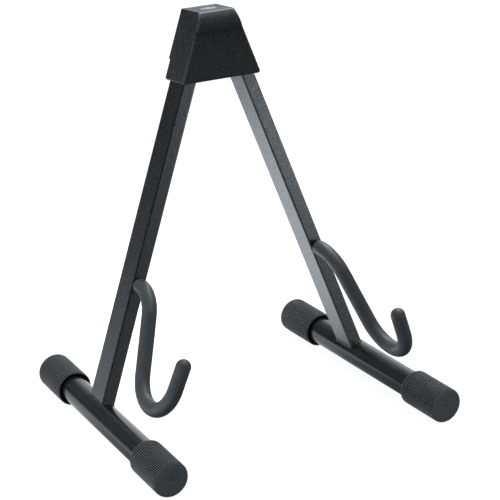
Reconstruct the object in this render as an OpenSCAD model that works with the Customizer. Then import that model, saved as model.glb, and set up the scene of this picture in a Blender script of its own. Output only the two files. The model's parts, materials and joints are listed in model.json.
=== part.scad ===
// Folding A-frame guitar stand. Two rectangular tube legs hinge in a moulded head. Each leg is
// welded to a floor tube with ribbed rubber caps, and carries a padded cradle arm at the front.
// Millimetres, +Z up. The front, where the guitar rests, faces -Y. The origin is on the floor,
// under the middle of the whole stand.

/* [Legs] */
// Length along a leg, from the axis of its floor tube to its hinge pin
leg_len = 354; // [290:1:430]
// Width of the leg tube, across the frame
leg_w = 12.7; // [9:0.1:14]
// Depth of the leg tube, front to rear
leg_d = 25.4; // [20:0.1:32]
// Wall thickness of the leg tube
leg_wall = 1.2; // [0.8:0.1:1.2]
// Outer corner radius of the leg tube, above the wall thickness
leg_corner = 1.5; // [1.4:0.1:2.4]
// Angle of an open leg from the middle line, in the plane of the frame
spread = 20.3; // [14:0.1:25]
// Lean of the frame to the rear
lean = 6.1; // [2:0.1:12]

/* [Hinge] */
// Distance between the two hinge pins
pin_spacing = 22; // [18:0.5:30]
// Shank diameter of a hinge pin
pin_d = 6; // [4:0.5:7]
// Radial clearance of a pin in its bores
pin_clearance = 0.05; // [0.02:0.01:0.1]
// Diameter of a pin's flat front head
pin_head_d = 11; // [9:0.5:12]
// Height of a pin's flat front head
pin_head_h = 1.6; // [1:0.1:2]
// Diameter of a pin's domed rear head
pin_dome_d = 10.5; // [9:0.5:12]
// Height of a pin's domed rear head
pin_dome_h = 2.4; // [1.5:0.1:3]
// Diameter of a thrust washer
washer_d = 12; // [9:0.5:14]
// Thickness of a thrust washer
washer_t = 0.8; // [0.5:0.1:1.5]
// Gap on each side of a thrust washer
washer_gap = 0.1; // [0.05:0.05:0.2]
// Sheet thickness of the hinge bracket
bracket_t = 1.5; // [1:0.1:2.5]
// Gap between a leg's rounded top and the bracket's web
leg_top_gap = 0.8; // [0.5:0.1:3]
// Gap between an open leg and its stop
stop_gap = 0.3; // [0.2:0.05:0.5]
// Distance from a pin down to the top of its stop
stop_drop = 21; // [15:0.5:24]
// Height of a stop along the leg
stop_h = 18; // [10:0.5:22]
// Length of a stop, rearward from the bracket's front plate
stop_reach = 24; // [12:0.5:28]
// Length of the bush block in the top of a leg
bush_len = 28; // [18:0.5:40]
// Gap around the bush block in the leg tube
bush_fit = 0.05; // [0.02:0.01:0.1]

/* [Head] */
// Height of the head along the frame
head_h = 60.2; // [54:0.1:75]
// Front wall thickness of the head
head_front_wall = 3.2; // [2.8:0.1:4]
// Side wall thickness of the head
head_side_wall = 1.9; // [1.6:0.1:4]
// Top wall thickness of the head
head_top_wall = 3; // [2.4:0.1:5]
// Rear wall thickness of the head
head_rear_wall = 1.5; // [1.2:0.1:3]
// Gap between the head and the bracket inside it
head_fit = 0.2; // [0.1:0.05:0.3]
// Gap around a pin's head in its pocket in the head
pin_pocket = 0.6; // [0.3:0.1:1]
// Height of the rear wall, down from the top
rear_wall_h = 41.5; // [24:0.1:48]
// How far the side walls stand back from the rear face below the rear wall
side_step = 2.8; // [1.8:0.1:4]
// Radius of the rounded front shoulder
shoulder_r = 18.5; // [12:0.5:24]
// How far the shoulder swells in front of the front face
shoulder_swell = 1; // [0.4:0.1:1.5]
// How far the top edge stands back from the front face
top_setback = 3; // [1:0.1:5]
// Length of the oval badge
badge_len = 15.2; // [8:0.1:22]
// Width of the oval badge
badge_wide = 9.8; // [5:0.1:14]
// Thickness of the badge, which lies flush in its recess
badge_t = 0.8; // [0.5:0.1:1.2]
// Gap around the badge
badge_gap = 0.2; // [0.1:0.05:0.4]

/* [Feet] */
// Outer diameter of the floor tubes
foot_d = 25; // [20:0.5:30]
// Wall thickness of the floor tubes
foot_wall = 1.5; // [1:0.1:2.5]
// Length of a foot in front of its leg, to the end of the cap
foot_front = 145.5; // [110:0.5:190]
// Length of a foot behind its leg, to the end of the cap
foot_rear = 101.5; // [80:0.5:150]
// Size of the weld bead between a leg and its floor tube
foot_bead = 2.2; // [1.5:0.1:3]
// Wall thickness of a rubber cap around its tube
cap_wall = 3.65; // [2:0.05:6]
// Length of a rubber cap
cap_len = 47.5; // [30:0.5:60]
// Thickness of a cap's closed end
cap_end = 4; // [2.5:0.1:8]
// Radius round the rim of a cap's closed end
cap_round = 3.4; // [1:0.1:3.4]
// Radial gap between a cap and its tube
cap_fit = 0.05; // [0.02:0.01:0.1]
// Diameter of the dimple in a cap's end
dimple_d = 4.4; // [2:0.1:8]
// Depth of the dimple in a cap's end
dimple_depth = 0.8; // [0.4:0.1:2]

/* [Arms] */
// Height of an arm's root along the leg, above the floor tube's axis
arm_height = 119.8; // [105:0.1:170]
// Diameter of the steel rod in an arm
rod_d = 8; // [6:0.5:9]
// Wall thickness of the soft sleeve on an arm
sleeve_wall = 2.65; // [1.5:0.05:4]
// Radial gap between a rod and its sleeve
sleeve_fit = 0.08; // [0.06:0.01:0.2]
// Size of the weld bead between a rod and its leg
arm_bead = 1.6; // [1:0.1:2]
// Gap between that bead and the end of the sleeve
bead_gap = 0.1; // [0.05:0.05:0.3]
// Straight length of an arm's root
arm_lead = 3; // [2.5:0.1:20]
// Radius of an arm's upper bend
upper_r = 28.8; // [20:0.1:40]
// Angle of an arm's upper bend
upper_turn = 73.8; // [60:0.1:85]
// Straight length between an arm's two bends
shank_len = 50.9; // [30:0.1:60]
// Radius of an arm's lower bend
lower_r = 29.9; // [20:0.1:40]
// Angle of an arm's lower bend
lower_turn = 155.7; // [120:0.1:170]
// Straight length of an arm's tip, up to its rounded end
tip_len = 21.1; // [8:0.1:40]
// Radius of the flat middle of a sleeve's rounded end
tip_flat = 0.6; // [0.3:0.1:3]
// Length of the sleeve past the end of the rod, below the rounded end
tip_cover = 2; // [1:0.1:5]

/* [Hidden] */
$fn = 64;
SIDES = [["left", -1], ["right", 1]];

coat = "#26282a";
rubber = "#2f3031";
plastic = "#333536";
steel = "#b9bcc0";
nylon = "#d8d6cf";

overcut = 1;                       // how far a cutting solid runs past the face it opens
reach = 400;                       // longer than any side of the stand
lap = 0.5;                         // how far a straight run of an arm enters the bend next to it
fuller = 0.02;                     // how much fuller a bend is than the straight runs it takes in
foot_r = foot_d / 2;
cap_r = foot_r + cap_fit + cap_wall;
pin_r = pin_d / 2;
bore_r = pin_r + pin_clearance;
pin_x = pin_spacing / 2;
toe = asin(sin(lean) * sin(spread)); // floor tubes square to the hinge pins toe out by this
half_track = pin_x + leg_len * sin(spread);
pin_z = leg_len * cos(spread);
mid_y = (foot_front - foot_rear) / 2 * cos(toe); // puts the origin under the middle of the feet

// Depths from the middle plane of the legs
leg_face = leg_d / 2;
plate_in = leg_face + washer_t + 2 * washer_gap;
plate_out = plate_in + bracket_t;
head_in = plate_out + head_fit;
head_front = head_in + head_front_wall;
head_rear = head_in + head_rear_wall;

// Offsets outward from the axis of an open leg
stop_face = leg_w / 2 + stop_gap;
bracket_side = stop_face + bracket_t;
head_side_in = bracket_side + head_fit;
head_side = head_side_in + head_side_wall;

// Heights along the frame, above the floor tubes' axis
web_low = pin_z + leg_w / 2 + leg_top_gap;
web_high = web_low + bracket_t;
head_top_in = web_high + head_fit;
head_top = head_top_in + head_top_wall;
head_low = head_top - head_h;
rear_wall_low = head_top - rear_wall_h;
stop_high = (leg_len - stop_drop) * cos(spread);
stop_low = (leg_len - stop_drop - stop_h) * cos(spread);

// Shoulder of the head: its arc ends on the top edge and meets the front face below
shoulder_y = shoulder_r - head_front - shoulder_swell;
top_front = -head_front + top_setback;
shoulder_z = head_top - sqrt(pow(shoulder_r, 2) - pow(shoulder_y - top_front, 2));
shoulder_low = shoulder_z - sqrt(pow(shoulder_r, 2) - pow(shoulder_r - shoulder_swell, 2));

// Arm, in its own plane: u runs forward from the legs' middle plane, v up along the leg
rod_r = rod_d / 2;
sleeve_in = rod_r + sleeve_fit;
sleeve_r = sleeve_in + sleeve_wall;
sleeve_start = leg_face + arm_bead + bead_gap;
tip_round = sleeve_r - tip_flat;    // radius round the end of a sleeve
upper_c = [leg_face + arm_lead, arm_height - upper_r];
upper_end = upper_c + upper_r * [sin(upper_turn), cos(upper_turn)];
lower_start = upper_end + shank_len * [cos(upper_turn), -sin(upper_turn)];
lower_c = lower_start + lower_r * [sin(upper_turn), cos(upper_turn)];
tip_angle = lower_turn - upper_turn;
tip_start = lower_c + lower_r * [sin(tip_angle), -cos(tip_angle)];

// Frame of the leaning A: middle plane of the legs, at the height of the floor tubes' axis
module frame_plane() {
    translate([0, mid_y, cap_r]) rotate([-lean, 0, 0]) children();
}

// Leg's own frame: z runs up the leg from the floor tube's axis
module leg_frame(side) {
    frame_plane() translate([side * half_track, 0, 0]) rotate([0, -side * spread, 0]) children();
}

// Floor tube's own frame: z runs forward along the tube from the leg
module foot_frame(side) {
    translate([side * half_track, mid_y, cap_r]) rotate([90, 0, side * toe]) children();
}

// Plane of a leg's arm: x forward, y up the leg
module arm_plane(side) {
    leg_frame(side) rotate([90, 0, -90]) children();
}

// Hinge pin's own frame: z runs forward along the pin from the legs' middle plane
module pin_frame(side) {
    frame_plane() translate([side * pin_x, 0, pin_z]) rotate([90, 0, 0]) children();
}

// Extrudes an outline of width and height from depth y0 to depth y1
module slab(y0, y1) {
    translate([0, y1, 0]) rotate([90, 0, 0]) linear_extrude(y1 - y0) children();
}

// Half width of the frame at a height, at an offset outward from the leg's axis
function side_x(z, offset) = half_track - z * tan(spread) + offset / cos(spread);

// Symmetric outline that narrows upward along the open legs
module tapered_outline(offset, low, high) {
    polygon([
        [-side_x(low, offset), low], [side_x(low, offset), low],
        [side_x(high, offset), high], [-side_x(high, offset), high]
    ]);
}

module rounded_rect(size, r) {
    square([size[0] - 2 * r, size[1]], center = true);
    square([size[0], size[1] - 2 * r], center = true);
    for (x = [-1, 1], y = [-1, 1])
        translate([x * (size[0] / 2 - r), y * (size[1] / 2 - r)]) circle(r);
}

module oval(length, width) {
    scale([1, width / length, 1]) circle(d = length);
}

// Head

// Head from the side, without its rounded shoulder
module head_profile() {
    polygon([
        [-head_front, head_low], [-head_front, shoulder_low], [top_front, head_top],
        [head_rear, head_top], [head_rear, rear_wall_low],
        [head_rear - side_step, rear_wall_low - side_step / 2], [head_rear - side_step, head_low]
    ]);
}

module head_shoulder() {
    intersection() {
        translate([shoulder_y, shoulder_z]) cylinder(r = shoulder_r, h = reach, center = true);
        translate([-head_front - shoulder_swell - overcut, shoulder_low, -reach / 2])
            cube([shoulder_r, head_top - shoulder_low, reach]);
    }
}

module head_hood() {
    color(plastic) frame_plane() difference() {
        intersection() {
            rotate([90, 0, 90]) {
                linear_extrude(reach, center = true) head_profile();
                head_shoulder();
            }
            slab(-reach / 2, reach / 2) tapered_outline(head_side, head_low, head_top);
        }
        slab(-head_in, head_in) tapered_outline(head_side_in, head_low - overcut, head_top_in);
        slab(0, head_rear + overcut) tapered_outline(head_side_in, head_low - overcut, rear_wall_low);
        for (x = [-pin_x, pin_x]) translate([x, 0, pin_z]) rotate([90, 0, 0]) {
            cylinder(d = pin_head_d + 2 * pin_pocket, h = plate_out + pin_head_h + head_fit);
            mirror([0, 0, 1]) cylinder(d = pin_dome_d + 2 * pin_pocket, h = head_rear + overcut);
        }
        translate([0, 0, head_top - badge_t])
            linear_extrude(badge_t + overcut) oval(badge_len + 2 * badge_gap, badge_wide + 2 * badge_gap);
    }
}

module head_badge() {
    color(steel) frame_plane() translate([0, 0, head_top - badge_t])
        linear_extrude(badge_t) oval(badge_len, badge_wide);
}

// Hinge

module hinge_bracket() {
    rear_low = rear_wall_low + bracket_t;
    color(steel) frame_plane() difference() {
        union() {
            slab(-plate_out, -plate_in) tapered_outline(bracket_side, stop_low - bracket_t, web_high);
            slab(plate_in, plate_out) tapered_outline(bracket_side, rear_low, web_high);
            slab(-plate_out, plate_out) tapered_outline(bracket_side, web_low, web_high);
            slab(-plate_out, -plate_out + stop_reach) difference() {
                tapered_outline(bracket_side, stop_low, stop_high);
                tapered_outline(stop_face, stop_low - overcut, stop_high + overcut);
            }
        }
        for (x = [-pin_x, pin_x])
            translate([x, 0, pin_z]) rotate([90, 0, 0]) cylinder(r = bore_r, h = reach, center = true);
    }
}

module hinge_pin(side) {
    dome_r = (pow(pin_dome_d / 2, 2) + pow(pin_dome_h, 2)) / (2 * pin_dome_h);
    color(steel) pin_frame(side) {
        translate([0, 0, -plate_out]) cylinder(r = pin_r, h = 2 * plate_out);
        translate([0, 0, plate_out]) cylinder(d = pin_head_d, h = pin_head_h);
        translate([0, 0, -plate_out]) rotate_extrude() intersection() {
            translate([0, dome_r - pin_dome_h]) circle(dome_r);
            translate([0, -pin_dome_h]) square([pin_dome_d / 2, pin_dome_h]);
        }
    }
}

module thrust_washers(side) {
    color(nylon) pin_frame(side) for (end = [-1, 1])
        translate([0, 0, end * (leg_face + washer_gap + washer_t / 2)]) difference() {
            cylinder(d = washer_d, h = washer_t, center = true);
            cylinder(r = bore_r, h = washer_t + 2 * overcut, center = true);
        }
}

// Legs

module leg_outline(side_wall) {
    w = leg_w - 2 * side_wall;
    translate([-w / 2, 0]) square([w, leg_len]);
    translate([0, leg_len]) circle(w / 2);
}

module leg_section(inset) {
    rounded_rect([leg_w - 2 * inset, leg_d - 2 * inset], leg_corner - inset);
}

module pin_bore() {
    translate([0, 0, leg_len]) rotate([90, 0, 0]) cylinder(r = bore_r, h = 2 * leg_d, center = true);
}

module leg_tube(side) {
    color(coat) difference() {
        leg_frame(side) difference() {
            intersection() {
                linear_extrude(leg_len + leg_w) leg_section(0);
                slab(-leg_d, leg_d) leg_outline(0);
            }
            translate([0, 0, -overcut]) linear_extrude(leg_len + leg_w + 2 * overcut) leg_section(leg_wall);
            pin_bore();
        }
        foot_frame(side) cylinder(r = foot_r, h = 3 * leg_d, center = true);
    }
}

module leg_bush(side) {
    inset = leg_wall + bush_fit;
    color(nylon) leg_frame(side) difference() {
        intersection() {
            translate([0, 0, leg_len - bush_len]) linear_extrude(bush_len + leg_w) leg_section(inset);
            slab(-leg_d, leg_d) leg_outline(inset);
        }
        pin_bore();
    }
}

// Feet

module foot_tube(side) {
    color(coat) foot_frame(side) difference() {
        translate([0, 0, -foot_rear + cap_end + cap_fit])
            cylinder(r = foot_r, h = foot_front + foot_rear - 2 * (cap_end + cap_fit));
        cylinder(r = foot_r - foot_wall, h = reach, center = true);
    }
}

module foot_weld(side) {
    color(coat) difference() {
        intersection() {
            leg_frame(side) linear_extrude(foot_d + leg_d)
                rounded_rect([leg_w + 2 * foot_bead, leg_d + 2 * foot_bead], leg_corner + foot_bead);
            foot_frame(side) cylinder(r = foot_r + foot_bead, h = 3 * leg_d, center = true);
        }
        leg_frame(side) translate([0, 0, -overcut])
            linear_extrude(foot_d + leg_d + 2 * overcut) leg_section(0);
        foot_frame(side) cylinder(r = foot_r, h = 3 * leg_d, center = true);
    }
}

// Cap with its open end at z = 0 and its closed end up
module cap() {
    rotate_extrude() difference() {
        union() {
            square([cap_r, cap_len - cap_round]);
            square([cap_r - cap_round, cap_len]);
            translate([cap_r - cap_round, cap_len - cap_round]) circle(cap_round);
        }
        translate([0, -overcut]) square([foot_r + cap_fit, cap_len - cap_end + overcut]);
        translate([0, cap_len - dimple_depth]) square([dimple_d / 2, dimple_depth + overcut]);
    }
}

module front_cap(side) {
    color(rubber) foot_frame(side) translate([0, 0, foot_front - cap_len]) cap();
}

module rear_cap(side) {
    color(rubber) foot_frame(side) mirror([0, 0, 1]) translate([0, 0, foot_rear - cap_len]) cap();
}

// Arms

// Section of an arm, solid or hollow
module ring(r_out, r_in) {
    difference() {
        circle(r_out);
        if (r_in > 0) circle(r_in);
    }
}

// Straight run from a start point. before and after lengthen it into the bends at its ends.
module straight(start, angle, length, r_out, r_in, before = 0, after = 0) {
    translate(start) rotate([0, 0, angle]) translate([-before, 0, 0]) rotate([0, 90, 0])
        linear_extrude(before + length + after) ring(r_out, r_in);
}

module bend(centre, from, turn, bend_r, r_out, r_in) {
    translate(centre) rotate([0, 0, from]) rotate_extrude(angle = turn)
        translate([bend_r, 0]) ring(r_out + fuller, r_in - fuller);
}

// Arm from a start depth through both bends to the start of its tip
module arm_path(start, r_out, r_in = 0) {
    straight([start, arm_height], 0, leg_face + arm_lead - start, r_out, r_in, after = lap);
    bend(upper_c, 90 - upper_turn, upper_turn, upper_r, r_out, r_in);
    straight(upper_end, -upper_turn, shank_len, r_out, r_in, before = lap, after = lap);
    bend(lower_c, -90 - upper_turn, lower_turn, lower_r, r_out, r_in);
}

module arm_rod(side) {
    color(steel) arm_plane(side) {
        arm_path(leg_face, rod_r);
        straight(tip_start, tip_angle, tip_len - tip_cover, rod_r, 0, before = lap);
    }
}

// Rounded tip of a sleeve, from the lower bend on
module sleeve_tip() {
    rotate_extrude() difference() {
        union() {
            translate([0, -lap]) square([sleeve_r, lap + tip_len]);
            square([sleeve_r - tip_round, tip_len + tip_round]);
            translate([sleeve_r - tip_round, tip_len]) intersection() {
                circle(tip_round);
                square(tip_round);
            }
        }
        translate([0, -lap - overcut]) square([sleeve_in, lap + overcut + tip_len - tip_cover + sleeve_fit]);
    }
}

module arm_sleeve(side) {
    color(rubber) arm_plane(side) {
        arm_path(sleeve_start, sleeve_r, sleeve_in);
        translate(tip_start) rotate([0, 0, tip_angle]) rotate([0, 90, 0]) sleeve_tip();
    }
}

module arm_weld(side) {
    color(coat) arm_plane(side) translate([leg_face, arm_height]) rotate([0, 90, 0])
        rotate_extrude() translate([rod_r, 0]) intersection() {
            circle(arm_bead);
            square(2 * arm_bead);
        }
}

head_hood();
head_badge();
hinge_bracket();
for (item = SIDES) {
    name = item[0];
    side = item[1];
    hinge_pin(side);
    thrust_washers(side);
    leg_tube(side);
    leg_bush(side);
    foot_tube(side);
    foot_weld(side);
    front_cap(side);
    rear_cap(side);
    arm_rod(side);
    arm_weld(side);
    arm_sleeve(side);
}
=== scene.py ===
"""Looks of a folding A-frame guitar stand: a moulded rubber head over a folded steel bracket, two
powder-coated rectangular legs, two glossy floor tubes with ribbed rubber caps, and two hose-covered
cradle arms. Metres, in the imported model's own frame: +Z up, the front faces -Y."""

import json
import math

import bmesh
import bpy
from mathutils import Matrix, Vector, noise

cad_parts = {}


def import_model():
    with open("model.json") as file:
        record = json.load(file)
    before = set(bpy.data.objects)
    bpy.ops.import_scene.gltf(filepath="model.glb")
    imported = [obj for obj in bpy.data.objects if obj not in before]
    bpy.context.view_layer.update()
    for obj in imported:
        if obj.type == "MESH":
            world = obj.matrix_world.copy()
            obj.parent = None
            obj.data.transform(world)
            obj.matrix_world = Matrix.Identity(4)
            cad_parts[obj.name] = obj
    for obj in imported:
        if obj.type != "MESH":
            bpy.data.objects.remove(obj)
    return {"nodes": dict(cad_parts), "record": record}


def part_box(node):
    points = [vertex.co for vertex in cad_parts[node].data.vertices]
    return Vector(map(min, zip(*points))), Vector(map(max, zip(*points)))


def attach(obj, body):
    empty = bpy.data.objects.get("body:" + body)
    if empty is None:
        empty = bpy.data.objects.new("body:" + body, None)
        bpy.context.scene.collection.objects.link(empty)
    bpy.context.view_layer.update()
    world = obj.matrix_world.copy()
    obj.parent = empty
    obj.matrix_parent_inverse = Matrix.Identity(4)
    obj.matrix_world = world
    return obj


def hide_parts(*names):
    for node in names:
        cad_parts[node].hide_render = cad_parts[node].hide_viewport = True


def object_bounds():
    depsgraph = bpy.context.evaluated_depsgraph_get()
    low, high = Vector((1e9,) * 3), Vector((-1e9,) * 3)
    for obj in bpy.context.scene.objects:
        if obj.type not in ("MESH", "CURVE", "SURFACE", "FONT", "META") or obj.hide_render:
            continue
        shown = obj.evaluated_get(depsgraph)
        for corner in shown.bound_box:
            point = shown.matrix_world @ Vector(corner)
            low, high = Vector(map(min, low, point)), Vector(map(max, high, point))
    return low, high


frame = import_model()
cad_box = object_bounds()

MM = 0.001
SIDES = (("left", -1), ("right", 1))
SPREAD = math.radians(20.3)  # angle of an open leg from the middle line

scene = bpy.context.scene
record = frame["record"]
joints = {j["name"]: j for j in record["behaviour"]["joints"]}


def linked(name, data):
    """A new object in the scene."""
    made = bpy.data.objects.new(name, data)
    scene.collection.objects.link(made)
    return made


def mesh_of(name, bm):
    mesh = bpy.data.meshes.new(name)
    bm.to_mesh(mesh)
    bm.free()
    return mesh


# ---------------------------------------------------------------- frames of the stand

pins = {name: Vector(joints[name + "_leg_fold"]["pos_m"]) for name, _ in SIDES}
LEAN = math.asin(abs(joints["left_leg_fold"]["axis"][2]))  # how far the frame leans back
PLANE = Matrix.Rotation(-LEAN, 4, "X")


def axis_of(matrix, column):
    return matrix.to_3x3().col[column].normalized()


def middle(node):
    low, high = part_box(node)
    return (low + high) / 2


def leg_matrix(name, side):
    """Leg's frame: origin on the floor tube's axis, z up the leg, y to the rear."""
    turn = PLANE @ Matrix.Rotation(-side * SPREAD, 4, "Y")
    up = axis_of(turn, 2)
    length = (pins[name].z - middle(name + "_foot_tube").z) / up.z
    return Matrix.Translation(pins[name] - up * length) @ turn


LEG = {name: leg_matrix(name, side) for name, side in SIDES}


def foot_matrix(name, side):
    """Floor tube's frame: origin at the leg, z forward along the tube, x outward or inward."""
    toe = math.asin(math.sin(LEAN) * math.sin(SPREAD))
    turn = Matrix.Rotation(side * toe, 4, "Z") @ Matrix.Rotation(math.pi / 2, 4, "X")
    return Matrix.Translation(LEG[name].translation) @ turn


FOOT = {name: foot_matrix(name, side) for name, side in SIDES}

# Head's frame: origin midway between the two hinge pins, z up the frame
HEAD = Matrix.Translation((pins["left"] + pins["right"]) / 2) @ PLANE


def local_box(node, matrix):
    """Lowest and highest corner of a CAD node in a frame of its own."""
    back = matrix.inverted()
    points = [back @ v.co for v in frame["nodes"][node].data.vertices]
    return (
        Vector([min(p[i] for p in points) for i in range(3)]),
        Vector([max(p[i] for p in points) for i in range(3)]),
    )


# ---------------------------------------------------------------- camera

AIM = Vector((17.33, 15.9, 142.85)) * MM  # the point in the middle of the picture
BACK = Vector((-0.4687, -0.8042, 0.3656)).normalized()  # direction from there to the camera
DISTANCE = 1.7955
LENS = 144.1
camera = linked("camera", bpy.data.cameras.new("camera"))
camera.data.sensor_width = 36
camera.data.lens = LENS
camera.data.clip_start = 0.05
camera.location = AIM + BACK * DISTANCE
camera.rotation_mode = "QUATERNION"
camera.rotation_quaternion = (-BACK).to_track_quat("-Z", "Y")
scene.camera = camera

# ---------------------------------------------------------------- materials


def add_node(tree, kind, **settings):
    """A new shader node with some of its settings."""
    node = tree.nodes.new(kind)
    for key, value in settings.items():
        setattr(node, key, value)
    return node


def map_range(tree, value, low, high, to_low, to_high, **settings):
    """Maps a socket's value from one span to another, and clamps it there."""
    node = add_node(tree, "ShaderNodeMapRange", **settings)
    span = {"From Min": low, "From Max": high, "To Min": to_low, "To Max": to_high}
    for key, number in span.items():
        node.inputs[key].default_value = number
    tree.links.new(value, node.inputs["Value"])
    return node.outputs[0]


class Nodes:
    """A material's node tree, with short ways to add the nodes used here."""

    def __init__(self, name):
        self.material = bpy.data.materials.new(name)
        self.material.use_nodes = True
        self.tree = self.material.node_tree
        self.tree.nodes.clear()
        self.out = self.tree.nodes.new("ShaderNodeOutputMaterial")
        self.bsdf = self.add("ShaderNodeBsdfPrincipled")
        self.tree.links.new(self.bsdf.outputs[0], self.out.inputs["Surface"])
        self.place = self.add("ShaderNodeTexCoord").outputs["Object"]

    def add(self, kind, **settings):
        return add_node(self.tree, kind, **settings)

    def attribute(self, name):
        """A number kept on the mesh's points."""
        return self.add("ShaderNodeAttribute", attribute_name=name).outputs["Fac"]

    def link(self, a, b):
        self.tree.links.new(a, b)

    def stretched(self, scale):
        """Coordinates scaled unevenly, for grain that runs one way."""
        node = self.add("ShaderNodeMapping")
        node.inputs["Scale"].default_value = scale
        self.link(self.place, node.inputs["Vector"])
        return node.outputs[0]

    def height(self):
        """Height above the floor."""
        node = self.add("ShaderNodeSeparateXYZ")
        self.link(self.place, node.inputs[0])
        return node.outputs["Z"]

    def noise(self, scale, detail=3.0, rough=0.5, where=None):
        node = self.add("ShaderNodeTexNoise")
        node.inputs["Scale"].default_value = scale
        node.inputs["Detail"].default_value = detail
        node.inputs["Roughness"].default_value = rough
        self.link(where or self.place, node.inputs["Vector"])
        return node.outputs["Fac"]

    def cells(self, scale):
        node = self.add("ShaderNodeTexVoronoi")
        node.inputs["Scale"].default_value = scale
        self.link(self.place, node.inputs["Vector"])
        return node.outputs["Distance"]

    def remap(self, value, low, high, to_low, to_high):
        return map_range(self.tree, value, low, high, to_low, to_high)

    def mix(self, factor, a, b):
        """Colour a at factor 0, colour b at factor 1. A colour is a triple or a socket."""
        node = self.add("ShaderNodeMix", data_type="RGBA")
        self.link(factor, node.inputs["Factor"])
        for colour, socket in ((a, node.inputs[6]), (b, node.inputs[7])):
            if isinstance(colour, tuple):
                socket.default_value = (*colour, 1)
            else:
                self.link(colour, socket)
        return node.outputs[2]

    def maths(self, operation, a, b):
        node = self.add("ShaderNodeMath", operation=operation)
        for value, socket in ((a, node.inputs[0]), (b, node.inputs[1])):
            if isinstance(value, (int, float)):
                socket.default_value = value
            else:
                self.link(value, socket)
        return node.outputs[0]

    def bump(self, *layers):
        """Layers of (height, depth in metres), each laid over the one before."""
        normal = None
        for height, depth in layers:
            node = self.add("ShaderNodeBump")
            node.inputs["Strength"].default_value = 1
            node.inputs["Distance"].default_value = depth
            self.link(height, node.inputs["Height"])
            if normal is not None:
                self.link(normal, node.inputs["Normal"])
            normal = node.outputs[0]
        self.link(normal, self.bsdf.inputs["Normal"])

    def blend(self, a, b, share):
        """Two patterns in one: share of the first, and the rest of the second."""
        return self.maths("ADD", self.maths("MULTIPLY", a, share), self.maths("MULTIPLY", b, 1 - share))

    def finish(self, colour, roughness, metallic=0.0, specular=0.5):
        self.link(colour, self.bsdf.inputs["Base Color"])
        self.link(roughness, self.bsdf.inputs["Roughness"])
        self.bsdf.inputs["Metallic"].default_value = metallic
        self.bsdf.inputs["Specular IOR Level"].default_value = specular
        return self.material


def grey(value, tint=0.0):
    """A neutral colour, slightly blue for a positive tint."""
    return (value * (1 - tint), value, value * (1 + tint))


HOOD_PAINTED_LIGHT = (0.345, 0.29)  # heights between which the hood is painted lighter towards its lower edge, as painted light


def hood_material():
    n = Nodes("hood_rubber")
    blotch = n.noise(45, 4, 0.55)
    grain = n.noise(850, 2, 0.6)
    fine = n.noise(1600, 2, 0.6)
    # painted light: the hood lighter towards its lower edge
    low = n.remap(n.height(), *HOOD_PAINTED_LIGHT, 0, 1)
    edge = n.attribute("edge")
    painted_crease_shade = n.attribute("painted_crease_shade")
    base = n.mix(n.remap(blotch, 0.35, 0.65, 0, 1), grey(0.007, 0.02), grey(0.011, 0.03))
    dust_and_painted_light = n.mix(low, base, grey(0.024, 0.03))
    speck = n.mix(n.remap(grain, 0.48, 0.64, 0, 1), dust_and_painted_light, grey(0.055, 0.03))
    # painted highlight on the top front edge and the shoulder; light wear, partly painted highlight, on
    # the other rounded edges
    scuff = n.maths("MULTIPLY", edge, n.remap(n.noise(260), 0.35, 0.65, 0.55, 1.0))
    with_highlights = n.mix(scuff, speck, grey(0.200, 0.03))
    # painted shade: the band under the shoulder's crease darkened towards near black
    colour = n.mix(painted_crease_shade, with_highlights, grey(0.002))
    rough = n.remap(n.blend(blotch, grain, 0.6), 0.3, 0.7, 0.42, 0.56)
    n.bump((n.noise(60, 2), 0.0006), (grain, 0.00018), (fine, 0.00006))
    return n.finish(colour, rough, specular=0.28)


def coat_material():
    n = Nodes("powder_coat")
    grain = n.noise(620, 2, 0.6)
    fine = n.noise(1500, 2, 0.6)
    cloud = n.noise(28, 3)
    base = n.mix(n.remap(cloud, 0.35, 0.65, 0, 1), grey(0.003, 0.02), grey(0.005, 0.03))
    colour = n.mix(n.remap(grain, 0.5, 0.66, 0, 1), base, grey(0.026, 0.03))
    rough = n.remap(grain, 0.3, 0.7, 0.24, 0.36)
    n.bump((grain, 0.00006), (fine, 0.00004))
    n.bsdf.inputs["IOR"].default_value = 1.62
    return n.finish(colour, rough, specular=1.0)


def gloss_material():
    n = Nodes("gloss_coat")
    orange = n.noise(330, 2, 0.5)
    cloud = n.noise(35, 3)
    fine = n.noise(1700, 2)
    base = n.mix(n.remap(cloud, 0.35, 0.65, 0, 1), grey(0.008), grey(0.013, 0.03))
    colour = n.mix(n.remap(fine, 0.55, 0.8, 0, 0.7), base, grey(0.03, 0.02))
    rough = n.remap(cloud, 0.3, 0.7, 0.19, 0.26)
    n.bump((orange, 0.00006), (fine, 0.000012))
    return n.finish(colour, rough)


def cap_material():
    n = Nodes("cap_rubber")
    cloud = n.noise(55, 4, 0.6)
    grain = n.noise(850, 2, 0.6)
    painted_groove_shade = n.attribute("painted_groove_shade")
    painted_crest_highlight = n.attribute("painted_crest_highlight")
    base = n.mix(n.remap(cloud, 0.35, 0.65, 0, 1), grey(0.105, 0.02), grey(0.135, 0.035))
    dust_and_painted_light = n.mix(n.remap(grain, 0.5, 0.72, 0, 0.7), base, grey(0.155, 0.03))
    # painted highlight: the rib crests lighter than the rest of the cap
    crest_highlight_colour = n.mix(n.remap(cloud, 0.3, 0.7, 0, 1), grey(0.20, 0.02), grey(0.23, 0.03))
    with_highlights = n.mix(painted_crest_highlight, dust_and_painted_light, crest_highlight_colour)
    # painted shade: grooves, the mouth's recess and the end's dimple darkened towards near black
    colour = n.mix(painted_groove_shade, with_highlights, grey(0.001))
    rough = n.remap(grain, 0.3, 0.7, 0.45, 0.6)
    n.bump((grain, 0.00004),)
    return n.finish(colour, rough, specular=0.15)


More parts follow.
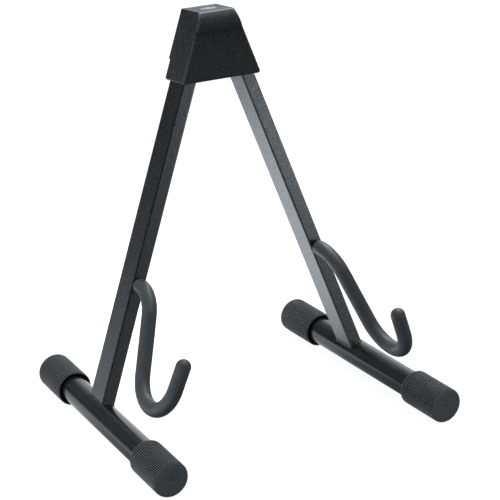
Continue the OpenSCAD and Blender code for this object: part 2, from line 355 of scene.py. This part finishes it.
def sleeve_material():
    n = Nodes("sleeve_hose")
    cloud = n.noise(60, 4, 0.6)
    grain = n.noise(850, 2, 0.6)
    scuff = n.noise(180, 3, 0.65)
    base = n.mix(n.remap(cloud, 0.35, 0.65, 0, 1), grey(0.044, 0.025), grey(0.060, 0.04))
    dust_and_painted_light = n.mix(n.remap(grain, 0.5, 0.72, 0, 0.9), base, grey(0.090, 0.03))
    colour = n.mix(n.remap(scuff, 0.6, 0.75, 0, 0.4), dust_and_painted_light, grey(0.075, 0.03))
    rough = n.remap(n.blend(cloud, grain, 0.5), 0.3, 0.7, 0.4, 0.54)
    n.bump((n.noise(120, 2), 0.00035), (grain, 0.00008))
    return n.finish(colour, rough, specular=0.5)


def zinc_material():
    n = Nodes("zinc_steel")
    grain = n.noise(600, 3, 0.6, n.stretched((1, 1, 0.08)))
    spangle = n.cells(260)
    cloud = n.noise(40, 3)
    colour = n.mix(n.remap(cloud, 0.3, 0.7, 0, 1), grey(0.50, 0.01), grey(0.62, 0.02))
    rough = n.remap(spangle, 0, 0.6, 0.28, 0.42)
    n.bump((grain, 0.00002), (spangle, 0.00001))
    return n.finish(colour, rough, metallic=1.0)


def rod_material():
    n = Nodes("bare_steel")
    grain = n.noise(900, 3, 0.6)
    cloud = n.noise(90, 3)
    colour = n.mix(n.remap(cloud, 0.3, 0.7, 0, 1), grey(0.30), grey(0.42, 0.01))
    rough = n.remap(grain, 0.3, 0.7, 0.35, 0.5)
    n.bump((grain, 0.00003),)
    return n.finish(colour, rough, metallic=1.0)


def nylon_material():
    n = Nodes("nylon")
    cloud = n.noise(120, 3)
    grain = n.noise(1600, 2)
    colour = n.mix(n.remap(cloud, 0.3, 0.7, 0, 1), (0.66, 0.645, 0.59), (0.73, 0.715, 0.67))
    rough = n.remap(grain, 0.3, 0.7, 0.42, 0.55)
    n.bump((grain, 0.00003),)
    n.bsdf.inputs["Subsurface Weight"].default_value = 0.15
    n.bsdf.inputs["Subsurface Radius"].default_value = (0.002, 0.0018, 0.0014)
    return n.finish(colour, rough)


def badge_material():
    n = Nodes("badge")
    brushed = n.noise(2400, 2, 0.6, n.stretched((0.04, 1, 1)))
    cloud = n.noise(180, 3)
    colour = n.mix(n.remap(cloud, 0.3, 0.7, 0, 1), grey(0.21, 0.02), grey(0.26, 0.03))
    rough = n.remap(brushed, 0.3, 0.7, 0.36, 0.5)
    n.bump((brushed, 0.000015),)
    return n.finish(colour, rough, metallic=0.3)


MATERIALS = {
    "hood": hood_material(),
    "powder_coat": coat_material(),
    "gloss_coat": gloss_material(),
    "cap_rubber": cap_material(),
    "sleeve": sleeve_material(),
    "zinc_steel": zinc_material(),
    "bare_steel": rod_material(),
    "nylon": nylon_material(),
    "badge": badge_material(),
}
slot_of = {part["node"]: part["material_slot"] for part in record["subparts"]}
for node, thing in frame["nodes"].items():
    thing.data.materials.clear()
    thing.data.materials.append(MATERIALS[slot_of[node]])

# ---------------------------------------------------------------- building pieces


def piece(name, bm, body, nodes, sharp):
    """Turns a bmesh in world coordinates into a piece that stands for CAD nodes."""
    bmesh.ops.recalc_face_normals(bm, faces=bm.faces)
    mesh = mesh_of(name, bm)
    mesh.polygons.foreach_set("use_smooth", [True] * len(mesh.polygons))
    mesh.set_sharp_from_angle(angle=math.radians(sharp))
    obj = linked(name, mesh)
    slot = slot_of[nodes[0]]
    mesh.materials.append(MATERIALS[slot])
    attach(obj, body)
    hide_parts(*nodes)
    return obj


def rings_to_faces(bm, rings, closed=True):
    """Joins rings of vertices, all of the same count, with quads, and closes the first and the last."""
    for a, b in zip(rings, rings[1:]):
        count = len(a)
        for i in range(count):
            j = (i + 1) % count
            bm.faces.new((a[i], a[j], b[j], b[i]))
    if closed:
        bm.faces.new(rings[0])
        bm.faces.new(rings[-1])


# Caps: a rubber cup whose fine ribs run part way over the rounded rim of its smooth end. Its open end
# has a thin lip and a sloping recess round the tube. The grooves, the recess and the end's dimple carry
# painted shade, and the rib crests a painted highlight. Millimetres.

RIBS = 60
RIB_SHAPE = (1.0, 1.0, 0.2, 0.0, 0.0, 0.0, 0.0, 0.2)  # crest to groove, once round a rib
RIB_DEPTH = 0.75
CAP_WALL = 3.65
CAP_RIM = 2.0  # radius of the rounded rim
RIM_FADE = (1, 1, 1, 1, 0.9, 0.4, 0, 0, 0, 0, 0)  # share of the ribs' depth left, over the rim
RIB_START = 0.6  # from the open end to where the ribs are at full height
RIB_STEPS = 8  # rings along the straight ribs
CAP_MOUTH = (  # rings of the open end: from the end, in from the crests, share of the ribs, painted shade
    (12, CAP_WALL, 0, 1.0),
    (3.6, CAP_WALL, 0, 1.0),
    (1.2, 1.7, 0, 0.85),
    (0.15, 1.25, 0, 0.6),
    (0, 1.05, 0, 0.4),
    (0.03, 0.85, 0.1, 0.3),
    (0.25, 0.12, 0.95, 0),
    (RIB_START, 0, 1, 0),
)
CAP_END = (  # rings of the closed end, with a moulding dimple in its middle: radius, depth, painted shade
    (9, 0, 0),
    (5, 0, 0),
    (2.6, 0.04, 0),
    (1.2, 0.1, 0),
    (0.6, 0.3, 0.6),
    (0.4, 0.9, 1),
)


def cap(name, foot, forward):
    node = f"{name}_{'front' if forward else 'rear'}_cap"
    low, high = local_box(node, foot)
    flip = foot if forward else foot @ Matrix.Diagonal((1, 1, -1, 1))
    start, end = (low.z / MM, high.z / MM) if forward else (-high.z / MM, -low.z / MM)
    outer = (high.x - low.x) / 2 / MM
    bm = bmesh.new()
    painted_groove_shade_layer = bm.verts.layers.float.new("painted_groove_shade")
    painted_crest_highlight_layer = bm.verts.layers.float.new("painted_crest_highlight")
    steps = len(RIB_SHAPE)

    def ring(z, radius, ribbed, shade=0.0):
        """Ring of points round the axis. ribbed is the share of the ribs' depth that shows in it."""
        loop = []
        for k in range(RIBS * steps):
            a = 2 * math.pi * k / (RIBS * steps)
            cut = (1 - RIB_SHAPE[k % steps]) * ribbed
            r = radius - RIB_DEPTH * cut
            v = bm.verts.new(flip @ (Vector((r * math.cos(a), r * math.sin(a), z)) * MM))
            # painted shade in the grooves, the recess and the dimple
            v[painted_groove_shade_layer] = max(cut, shade)
            # painted highlight on the rib crests
            v[painted_crest_highlight_layer] = max(0, ribbed - cut)
            loop.append(v)
        return loop

    rings = [ring(start + far, outer - drop, ribbed, shade) for far, drop, ribbed, shade in CAP_MOUTH]
    ribs_from, ribs_to = start + RIB_START, end - CAP_RIM
    for k in range(1, RIB_STEPS + 1):
        rings.append(ring(ribs_from + (ribs_to - ribs_from) * k / RIB_STEPS, outer, 1))
    for k, ribbed in enumerate(RIM_FADE, start=1):
        a = math.pi / 2 * k / len(RIM_FADE)
        z = end - CAP_RIM * (1 - math.sin(a))
        rings.append(ring(z, outer - CAP_RIM * (1 - math.cos(a)), ribbed))
    rings += [ring(end - drop, radius, 0, shade) for radius, drop, shade in CAP_END]
    rings_to_faces(bm, rings)
    piece(f"{node}_ribbed", bm, f"{name}_leg", [node], sharp=50)


for name in FOOT:
    cap(name, FOOT[name], True)
    cap(name, FOOT[name], False)

# Sleeves: soft hose drawn over each bent rod, with a domed end. Millimetres and degrees.

ARM_HEIGHT, ARM_LEAD = 119.8, 3
UPPER_R, UPPER_TURN, SHANK = 28.8, 73.8, 50.9
LOWER_R, LOWER_TURN, TIP = 29.9, 155.7, 20.5
LEG_FACE, ARM_BEAD, BEAD_GAP = 12.7, 1.6, 0.1
ROD_R, SLEEVE_R = 4.0, 6.73
SLEEVE_MOUTH = (  # rings of the sleeve's end by the leg: into the arm, radius, share of the waviness
    (1.2, ROD_R + 0.08, 0),
    (0, ROD_R + 0.1, 0),
    (0, SLEEVE_R - 0.55, 0),
    (0.12, SLEEVE_R - 0.22, 0.3),
    (0.45, SLEEVE_R - 0.02, 0.6),
)
SLEEVE_SIDES = 56
LEAD_STEPS, UPPER_STEPS, SHANK_STEPS, LOWER_STEPS, TIP_STEPS = 5, 24, 20, 48, 8
DOME_STEPS = 13
WAVE_HEIGHT = 0.09  # waviness of the hose's surface
WAVE_RATE = 55
WAVE_SEED = {"left": 3.1, "right": 8.7}


def heading_of(degrees):
    """Unit step that way, in the plane of an arm."""
    return Vector((math.cos(math.radians(degrees)), math.sin(math.radians(degrees))))


def arm_route(first):
    """Points (forward, up the leg) and headings along an arm's centre line."""
    lead_end = Vector((LEG_FACE + ARM_LEAD, ARM_HEIGHT))
    start = Vector((first, ARM_HEIGHT))
    rows = [(start.lerp(lead_end, k / LEAD_STEPS), 0) for k in range(LEAD_STEPS)]
    centre = lead_end - Vector((0, UPPER_R))
    for k in range(UPPER_STEPS + 1):
        turned = UPPER_TURN * k / UPPER_STEPS
        rows.append((centre + UPPER_R * heading_of(90 - turned), -turned))
    bend_end = rows[-1][0]
    down = heading_of(-UPPER_TURN)
    for k in range(1, SHANK_STEPS):
        rows.append((bend_end + down * SHANK * k / SHANK_STEPS, -UPPER_TURN))
    centre = bend_end + down * SHANK + LOWER_R * Vector((-down.y, down.x))
    for k in range(LOWER_STEPS + 1):
        angle = -90 - UPPER_TURN + LOWER_TURN * k / LOWER_STEPS
        rows.append((centre + LOWER_R * heading_of(angle), angle + 90))
    hook_end, heading = rows[-1]
    for k in range(1, TIP_STEPS + 1):
        rows.append((hook_end + heading_of(heading) * TIP * k / TIP_STEPS, heading))
    return rows


def sleeve(name):
    leg = LEG[name]
    across = axis_of(leg, 0)
    rows = arm_route(LEG_FACE + ARM_BEAD + BEAD_GAP)
    bm = bmesh.new()
    seed = Vector((WAVE_SEED[name], 0, 0))

    def place(point):
        return leg @ Vector((0, -point.x * MM, point.y * MM))

    def ring(point, heading, radius, waves=1.0):
        centre = place(point)
        out = (place(point + heading_of(heading + 90)) - centre).normalized()
        loop = []
        for k in range(SLEEVE_SIDES):
            a = 2 * math.pi * k / SLEEVE_SIDES
            away = out * math.cos(a) + across * math.sin(a)
            wave = noise.noise(centre * WAVE_RATE + away * 0.5 + seed) * WAVE_HEIGHT * waves
            loop.append(bm.verts.new(centre + away * (radius + wave) * MM))
        return loop

    start, heading = rows[0]
    rings = [ring(start + Vector((far, 0)), heading, r, waves) for far, r, waves in SLEEVE_MOUTH]
    rings += [ring(point, heading, SLEEVE_R) for point, heading in rows[1:]]
    end, heading = rows[-1]
    for k in range(1, DOME_STEPS):
        a = math.pi / 2 * k / DOME_STEPS
        point = end + heading_of(heading) * SLEEVE_R * math.sin(a)
        rings.append(ring(point, heading, SLEEVE_R * math.cos(a), 1 - k / DOME_STEPS))
    rings_to_faces(bm, rings)
    piece(f"{name}_arm_hose", bm, f"{name}_leg", [f"{name}_arm_sleeve"], sharp=50)


for name in LEG:
    sleeve(name)

# Head: the CAD hood's own faces with moulded, rounded edges

HOOD_ROUND = 2.1 * MM  # width of the fullest rounding
EDGE_SHARES = {  # share of it on each kind of edge
    ("front", "side"): 1.0,
    ("front", "top"): 0.8,
    ("side", "top"): 0.25,
    ("rear", "top"): 0.2,
    ("rear", "side"): 0.15,
    ("bottom", "side"): 0.7,
    ("bottom", "front"): 0.85,
}
SHOULDER_END = -5.6 * MM  # height of the crease under the shoulder, in the head's frame
CREASE_LOOPS = (0.7 * MM, 2.2 * MM, 6 * MM)  # loops cut below it, which its band of painted shade fades over
CREASE_SHADE = (0.7, 0.35)  # level of the painted shade at its first loops
TOP_EDGE_HIGHLIGHT, OTHER_EDGE, SHOULDER_HIGHLIGHT = 1.0, 0.2, 0.9  # how light the edges and the shoulder are painted: a painted highlight on the top front edge and the shoulder, and on the other edges light wear that is partly a painted highlight
CORNER_R = 2.2 * MM  # the hood's lower corners, seen from the front
CORNER_STEPS = 12
EDGE_STEPS = 8
FLAT_ENOUGH = math.radians(12)  # an edge that turns less than this isn't rounded
NEAR = 0.1 * MM  # a point this close to a face counts as on it


def corner_cutter(side, low, high, top_half):
    """Prism that takes the sharp lower corner off one side of the hood, down to a round."""
    slope = math.atan((high.x - top_half) / (high.z - low.z))
    inner = math.pi / 2 - slope  # angle of the corner itself
    reach = CORNER_R / math.tan(inner / 2)
    corner = Vector((high.x, low.z))
    centre = corner + Vector((-reach, CORNER_R))
    outline = [
        centre + CORNER_R * Vector((math.sin(a), -math.cos(a)))
        for a in ((math.pi - inner) * k / CORNER_STEPS for k in range(CORNER_STEPS + 1))
    ]
    first, last = outline[0], outline[-1]
    away = Vector((math.cos(slope), math.sin(slope)))
    outline = [
        first + Vector((-0.02 * MM, -2 * MM)),
        *outline,
        last + 2 * MM * away,
        corner + 4 * MM * away - Vector((0, 4 * MM)),
    ]
    bm = bmesh.new()
    rings = [
        [bm.verts.new(HEAD @ Vector((side * p.x, y, p.y))) for p in outline]
        for y in (low.y - 5 * MM, high.y + 5 * MM)
    ]
    rings_to_faces(bm, rings)
    bmesh.ops.recalc_face_normals(bm, faces=bm.faces)
    return linked("corner_cutter", mesh_of("corner_cutter", bm))


def evaluated(thing):
    """The object's mesh with its modifiers applied."""
    graph = bpy.context.evaluated_depsgraph_get()
    return bpy.data.meshes.new_from_object(thing.evaluated_get(graph))


def trimmed_hood(low, high):
    """The CAD hood's mesh with its lower corners taken off."""
    source = frame["nodes"]["head_hood"].data
    back = HEAD.inverted()
    points = [back @ v.co for v in source.vertices]
    top_half = max(p.x for p in points if p.z > high.z - NEAR / 2)
    blank = linked("hood_blank", source.copy())
    cutters = [corner_cutter(side, low, high, top_half) for side in (-1, 1)]
    for cutter in cutters:
        cut = blank.modifiers.new("corner", "BOOLEAN")
        cut.operation = "DIFFERENCE"
        cut.solver = "EXACT"
        cut.object = cutter
    mesh = evaluated(blank)
    for thing in (blank, *cutters):
        bpy.data.objects.remove(thing)
    return mesh


def hood_kind(place, normal, low, high):
    """Which face of the hood one is, from its middle and normal in the head's frame."""
    if normal.z > 0.9 and place.z > high.z - NEAR:
        return "top"
    if normal.z < -0.9 and place.z < low.z + NEAR:
        return "bottom"
    if normal.y > 0.9 and place.y > high.y - NEAR:
        return "rear"
    if normal.y < -0.2 and place.y < low.y + 5 * MM and place.z > low.z + MM:
        return "front"
    outward = normal.x * math.copysign(1, place.x)
    side = outward > 0.85 and abs(place.x) > 15 * MM
    low_corner = place.z < low.z + 2 * CORNER_R and abs(place.x) > 30 * MM and abs(normal.y) < 0.1
    return "side" if side or low_corner and outward > 0.05 else "other"


def hood_cage(low, high):
    """The trimmed hood with a bevel weight on each outer edge."""
    back = HEAD.inverted()
    spin = back.to_3x3()
    bm = bmesh.new()
    bm.from_mesh(trimmed_hood(low, high))
    bmesh.ops.remove_doubles(bm, verts=bm.verts, dist=2e-6)
    bmesh.ops.dissolve_limit(bm, angle_limit=math.radians(0.7), verts=bm.verts, edges=bm.edges)
    for drop in CREASE_LOOPS:
        bmesh.ops.bisect_plane(
            bm,
            geom=bm.verts[:] + bm.edges[:] + bm.faces[:],
            dist=1e-6,
            plane_co=HEAD @ Vector((0, 0, SHOULDER_END - drop)),
            plane_no=axis_of(HEAD, 2),
        )

    kinds = {f: hood_kind(back @ f.calc_center_median(), spin @ f.normal, low, high) for f in bm.faces}
    weight = bm.edges.layers.float.new("bevel_weight_edge")
    for e in bm.edges:
        if len(e.link_faces) != 2 or e.calc_face_angle(0) < FLAT_ENOUGH:
            continue
        share = EDGE_SHARES.get(tuple(sorted(kinds[f] for f in e.link_faces)))
        if share:
            e[weight] = share
    cage = linked("hood_cage", mesh_of("hood_cage", bm))
    for _ in range(2):  # the second slot marks the faces that the bevel makes
        cage.data.materials.append(MATERIALS["hood"])
    return cage


def rounded_hood():
    """The hood, with its edge wear and painted highlights, and the painted shade in its crease, kept on
    its points.
    """
    low, high = local_box("head_hood", HEAD)
    back = HEAD.inverted()
    spin = back.to_3x3()
    cage = hood_cage(low, high)
    bevel = cage.modifiers.new("edges", "BEVEL")
    bevel.limit_method = "WEIGHT"
    bevel.width = HOOD_ROUND
    bevel.segments = EDGE_STEPS
    bevel.material = 1
    bevel.use_clamp_overlap = False
    bm = bmesh.new()
    bm.from_mesh(evaluated(cage))
    bpy.data.objects.remove(cage)
    edge_layer = bm.verts.layers.float.new("edge")
    painted_crease_shade_layer = bm.verts.layers.float.new("painted_crease_shade")
    for v in bm.verts:
        place = back @ v.co
        ahead = (spin @ v.normal).y < -0.25 and place.y < low.y + 6 * MM
        # painted highlight on the top front edge and rising up the shoulder; light wear, partly painted
        # highlight, on the other rounded edges
        if all(f.material_index == 1 for f in v.link_faces):
            v[edge_layer] = TOP_EDGE_HIGHLIGHT if ahead and place.z > high.z - 2 * MM else OTHER_EDGE
        if ahead and place.z > SHOULDER_END + MM:
            climb = (place.z - SHOULDER_END) / (high.z - SHOULDER_END)
            v[edge_layer] = max(v[edge_layer], SHOULDER_HIGHLIGHT * climb**3)
        # painted shade on the front, in a band just under the crease
        below = SHOULDER_END - place.z
        if ahead and -0.5 * MM < below < CREASE_LOOPS[2] - NEAR:
            v[painted_crease_shade_layer] = CREASE_SHADE[0 if below < CREASE_LOOPS[0] + NEAR else 1]
    for f in bm.faces:
        f.material_index = 0
    hood = piece("head_hood_moulded", bm, "head", ["head_hood"], sharp=15)
    flats = hood.modifiers.new("flats", "WEIGHTED_NORMAL")
    flats.keep_sharp = True


rounded_hood()

# Weld beads: an uneven bead round each leg where it stands on its floor tube

BEAD_STATIONS = 150
BEAD_SIDES = 10
BEAD_SIZE = 0.9  # radius in millimetres, along the leg's flat sides
BEAD_PINCH = 0.45  # how much smaller it is at the leg's front and rear
PINCH_FROM = 0.85  # share of the leg's half depth where it starts to shrink
RIPPLES, RIPPLE_HEIGHT = 46, 0.09
LUMP_RATE, LUMP_HEIGHT = 330, 0.22
LEG_HALF = (6.35 * MM, 12.7 * MM)
LEG_CORNER = 1.5 * MM
LEG_CORNER_STEPS = 6
TUBE_R = 12.5 * MM
NUDGE = 0.004  # share of the way round that shows which way the bead heads


def section_point(share):
    """Point on the leg tube's outline, share of the way round it."""
    half_x, half_y = LEG_HALF
    runs = []
    for sx, sy, turn in ((1, 1, 0), (-1, 1, 90), (-1, -1, 180), (1, -1, 270)):
        centre = Vector((sx * (half_x - LEG_CORNER), sy * (half_y - LEG_CORNER)))
        for k in range(LEG_CORNER_STEPS + 1):
            a = math.radians(turn + 90 * k / LEG_CORNER_STEPS)
            runs.append(centre + LEG_CORNER * Vector((math.cos(a), math.sin(a))))
    runs.append(runs[0])
    lengths = [(b - a).length for a, b in zip(runs, runs[1:])]
    left = share * sum(lengths)
    for a, b, length in zip(runs, runs[1:], lengths):
        if left <= length:
            return a.lerp(b, left / length)
        left -= length
    return runs[0]


def weld_bead(name):
    leg, foot = LEG[name], FOOT[name]
    into = foot.inverted() @ leg
    along = into.to_3x3() @ Vector((0, 0, 1))

    def seam(share):
        """Point where the leg's outline, carried along the leg, meets the floor tube."""
        flat = section_point(share % 1)
        p = into @ Vector((flat.x, flat.y, 0))
        a = along.x**2 + along.y**2
        b = p.x * along.x + p.y * along.y
        c = p.x**2 + p.y**2 - TUBE_R**2
        return foot @ (p + along * ((math.sqrt(b * b - a * c) - b) / a)), flat

    bm = bmesh.new()
    rings = []
    for k in range(BEAD_STATIONS):
        share = k / BEAD_STATIONS
        centre, flat = seam(share)
        ahead = (seam(share + NUDGE)[0] - seam(share - NUDGE)[0]).normalized()
        out = axis_of(leg, 2).cross(ahead).normalized()
        up = ahead.cross(out).normalized()
        end = abs(flat.y) / LEG_HALF[1]
        size = BEAD_SIZE - BEAD_PINCH * max(0, (end - PINCH_FROM) / (1 - PINCH_FROM))
        ripple = RIPPLE_HEIGHT * math.sin(2 * math.pi * share * RIPPLES)
        lumps = LUMP_HEIGHT * noise.noise(centre * LUMP_RATE)
        r = size * (1 + ripple + lumps) * MM
        loop = []
        for j in range(BEAD_SIDES):
            a = 2 * math.pi * j / BEAD_SIDES
            loop.append(bm.verts.new(centre + (out * math.cos(a) + up * math.sin(a)) * r))
        rings.append(loop)
    rings_to_faces(bm, rings + [rings[0]], closed=False)
    piece(f"{name}_leg_weld_bead", bm, f"{name}_leg", [f"{name}_foot_weld"], sharp=60)


for name in LEG:
    weld_bead(name)

# ---------------------------------------------------------------- floor, light and air

FLOOR_REACH = 6  # half the floor's width
FLOOR_DROP = 0.2 * MM  # how far it lies below the feet
FLOOR_TONE = 0.2
CAMERA_LIFT = 0.93  # glow that makes the floor white to the camera, with the object's shadow kept
SWEEP_SPAN = (-1.0, 3.0)
SWEEP_GLOW = (  # painted light: the floor's glow that glossy rays see: metres to the rear, level
    (-0.1, 0.0),
    (0.03, 0.4),
    (0.08, 1.0),
    (0.3, 1.0),
    (0.42, 0.7),
    (0.7, 0.5),
    (1.1, 0.55),
    (1.7, 0.05),
)
ROOM = (  # level of the room by the height of the direction, from the horizon up
    (0.0, 0.02),
    (0.05, 0.02),
    (0.3, 0.3),
    (0.5, 0.15),
    (0.6, 0.2),
    (0.78, 0.7),
    (1.0, 0.3),
)
PATCH, PATCH_TOWARD = 1.6, (0.52, 0.85, 0.08)  # pale patch at the rear right
DARK, DARK_TOWARD = 0.1, (-0.6, -0.7, 0.3)  # what is left of the room's light at the front left


def cool(value):
    """A level of light, slightly blue."""
    return (value * 0.92, value, value * 1.07)


def maths_node(tree, operation, first, second):
    node = add_node(tree, "ShaderNodeMath", operation=operation)
    tree.links.new(first, node.inputs[0])
    tree.links.new(second, node.inputs[1])
    return node.outputs[0]


def add_shaders(tree, first, second):
    node = add_node(tree, "ShaderNodeAddShader")
    tree.links.new(first, node.inputs[0])
    tree.links.new(second, node.inputs[1])
    return node.outputs[0]


def seen_directly(tree, path):
    """1 for camera rays and for rays that came through something clear."""
    camera_ray, clear_ray = path.outputs["Is Camera Ray"], path.outputs["Is Transmission Ray"]
    return maths_node(tree, "MAXIMUM", camera_ray, clear_ray)


def floor_material():
    """Pale floor. It shows white to the camera. To glossy rays it glows brighter to the rear: painted
    light that stands in for a paper sweep lit from behind."""
    material = bpy.data.materials.new("floor")
    material.use_nodes = True
    tree = material.node_tree
    tree.nodes.clear()
    out = add_node(tree, "ShaderNodeOutputMaterial")
    matte = add_node(tree, "ShaderNodeBsdfDiffuse")
    matte.inputs["Color"].default_value = (FLOOR_TONE, FLOOR_TONE, FLOOR_TONE, 1)
    path = add_node(tree, "ShaderNodeLightPath")
    place = add_node(tree, "ShaderNodeTexCoord")
    split = add_node(tree, "ShaderNodeSeparateXYZ")
    tree.links.new(place.outputs["Object"], split.inputs[0])
    x, y = split.outputs["X"], split.outputs["Y"]

    ahead = map_range(tree, x, -0.26, -0.17, 0.3, 0.0)  # painted light: at the left the glow starts further forward
    depth = maths_node(tree, "ADD", y, ahead)
    start, end = SWEEP_SPAN
    sweep = add_node(tree, "ShaderNodeValToRGB")
    sweep.color_ramp.interpolation = "LINEAR"
    stops = sweep.color_ramp.elements
    for k, (far, level) in enumerate(SWEEP_GLOW):
        position = (far - start) / (end - start)
        stop = stops[k] if k < 2 else stops.new(position)
        stop.position = position
        stop.color = (*cool(level), 1)
    tree.links.new(map_range(tree, depth, start, end, 0.0, 1.0), sweep.inputs["Fac"])

    # painted light: a glow on the floor that only glossy rays see
    painted_glow = add_node(tree, "ShaderNodeEmission")
    tree.links.new(sweep.outputs["Color"], painted_glow.inputs["Color"])
    beside = map_range(tree, x, 0.35, 0.6, 1.0, 0.2)  # painted light: the glow is dimmer far to the right
    glossy = maths_node(tree, "MULTIPLY", path.outputs["Is Glossy Ray"], beside)
    tree.links.new(glossy, painted_glow.inputs["Strength"])
    shown = add_node(tree, "ShaderNodeMath", operation="MULTIPLY")
    shown.inputs[1].default_value = CAMERA_LIFT
    tree.links.new(seen_directly(tree, path), shown.inputs[0])
    lift = add_node(tree, "ShaderNodeEmission")
    tree.links.new(shown.outputs[0], lift.inputs["Strength"])
    surface = add_shaders(tree, matte.outputs[0], lift.outputs[0])
    surface = add_shaders(tree, surface, painted_glow.outputs[0])
    tree.links.new(surface, out.inputs["Surface"])
    return material


def lay_floor():
    bm = bmesh.new()
    bmesh.ops.create_grid(bm, x_segments=8, y_segments=8, size=FLOOR_REACH)
    floor = linked("floor", mesh_of("floor", bm))
    floor.location.z = cad_box[0].z - FLOOR_DROP
    floor.data.materials.append(floor_material())


lay_floor()


def aimed(name, data, place, aim, power):
    """A lamp that stands at place and shines towards aim."""
    data.energy = power
    data.color = cool(1.0)
    lamp = linked(name, data)
    lamp.location = place
    lamp.rotation_mode = "QUATERNION"
    lamp.rotation_quaternion = (Vector(aim) - Vector(place)).to_track_quat("-Z", "Y")
    return lamp


def area(name, place, aim, width, height, power):
    data = bpy.data.lights.new(name, "AREA")
    data.shape = "RECTANGLE"
    data.size = width
    data.size_y = height
    return aimed(name, data, place, aim, power)


def spot(name, place, aim, cone, squeeze, power):
    """A soft-edged spot with its cone squeezed sideways."""
    data = bpy.data.lights.new(name, "SPOT")
    data.spot_size = math.radians(cone)
    data.spot_blend = 0.6
    data.shadow_soft_size = 0.05
    lamp = aimed(name, data, place, aim, power)
    lamp.scale = (squeeze, 1, 1)
    return lamp


def soft_sun(name, place, spread, power):
    """A very soft distant lamp. Only the direction from place to the origin counts."""
    data = bpy.data.lights.new(name, "SUN")
    data.angle = math.radians(spread)
    return aimed(name, data, place, (0, 0, 0), power)


soft_sun("overhead", (0.35, -0.1, 1.0), 50, 1.1)  # lights the floor and every upper face
rear = spot("rear_floor", (0.0, 0.8, 1.2), (0.0, 0.288, 0), 27, 0.42, 200)  # between the rear caps
left = area("left", (-1.3, -0.1, 0.5), (0, 0, 0.2), 0.6, 0.6, 12.0)
for lamp in (rear, left):  # kept out of the object's reflections
    lamp.visible_glossy = False
area("top_rear", (0.6, 0.62, 1.3), (0.0, 0.03, 0.34), 0.3, 0.3, 10.0)
area("front_low", (0.9, -1.0, 0.06), (0.05, 0, 0.2), 0.2, 0.12, 1.0)
area("front_high", (0.75, -1.0, 0.15), (0.05, 0, 0.2), 0.2, 0.12, 0.25)


def world():
    """Dim studio: soft light above, dark low down, darker at the front left, and a low pale patch at
    the rear right. To the camera it is plain white."""
    made = bpy.data.worlds.new("studio")
    scene.world = made
    made.use_nodes = True
    tree = made.node_tree
    tree.nodes.clear()
    out = add_node(tree, "ShaderNodeOutputWorld")
    place = add_node(tree, "ShaderNodeTexCoord")
    direction = place.outputs["Generated"]

    def towards(way, low, high, to_low, to_high):
        """A soft-edged round patch of the sky about one direction."""
        dot = add_node(tree, "ShaderNodeVectorMath", operation="DOT_PRODUCT")
        dot.inputs[1].default_value = Vector(way).normalized()
        tree.links.new(direction, dot.inputs[0])
        soft = {"interpolation_type": "SMOOTHSTEP"}
        return map_range(tree, dot.outputs["Value"], low, high, to_low, to_high, **soft)

    split = add_node(tree, "ShaderNodeSeparateXYZ")
    tree.links.new(direction, split.inputs[0])
    height = add_node(tree, "ShaderNodeValToRGB")
    stops = height.color_ramp.elements
    for position, level in ROOM:
        spare = [e for e in stops if e.position == position]
        stop = spare[0] if spare else stops.new(position)
        stop.color = (*cool(level), 1)
    tree.links.new(split.outputs["Z"], height.inputs[0])

    room = add_node(tree, "ShaderNodeBackground")
    tree.links.new(height.outputs[0], room.inputs["Color"])
    tree.links.new(towards(DARK_TOWARD, 0.5, 0.88, 1.0, DARK), room.inputs["Strength"])
    glow = add_node(tree, "ShaderNodeBackground")
    tree.links.new(towards(PATCH_TOWARD, 0.75, 0.98, 0.0, PATCH), glow.inputs["Strength"])
    white = add_node(tree, "ShaderNodeBackground")
    white.inputs["Color"].default_value = (1, 1, 1, 1)
    pick = add_node(tree, "ShaderNodeMixShader")
    path = add_node(tree, "ShaderNodeLightPath")
    tree.links.new(seen_directly(tree, path), pick.inputs[0])
    tree.links.new(add_shaders(tree, room.outputs[0], glow.outputs[0]), pick.inputs[1])
    tree.links.new(white.outputs[0], pick.inputs[2])
    tree.links.new(pick.outputs[0], out.inputs["Surface"])


world()
scene.view_settings.view_transform = "Standard"
